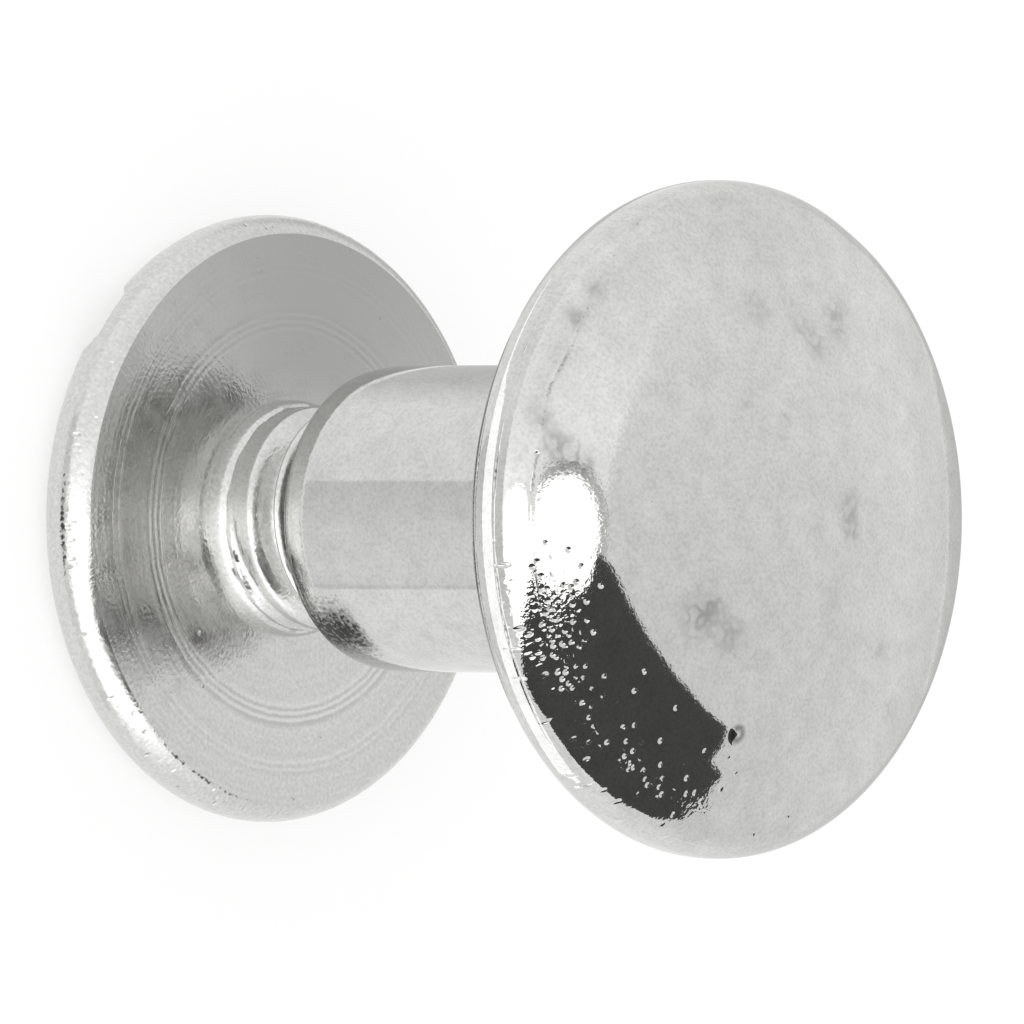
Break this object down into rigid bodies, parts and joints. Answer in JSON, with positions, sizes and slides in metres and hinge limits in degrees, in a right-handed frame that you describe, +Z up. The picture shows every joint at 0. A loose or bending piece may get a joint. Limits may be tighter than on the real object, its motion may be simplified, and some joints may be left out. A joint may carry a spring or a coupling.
{
  "type": "chicago screw",
  "caption": "Clamping fastener for sheets: a domed post with a hollow barrel, and a flat slotted screw whose threaded shank turns into it.",
  "frame": {"origin": "centre of the slotted face that the part stands on", "axes": "+Z up along the shared axis of the screw and the post; the driver slot runs along X"},
  "size_m": [0.0104, 0.0104, 0.0117],
  "materials": {
    "post_plate": "bright nickel plate on steel, polished, with fine pits and handling marks",
    "screw_plate": "nickel plate on turned steel, with tool marks on the inner face"
  },
  "bodies": {
    "screw": {"screw": "screw_plate"},
    "post": {"post": "post_plate"}
  },
  "joints": [
    {"name": "post_unscrewing", "type": "slide", "parent": "screw", "child": "post", "axis": [0, 0, 1], "range_m": [-0.00192, 0.0033]}
  ]
}
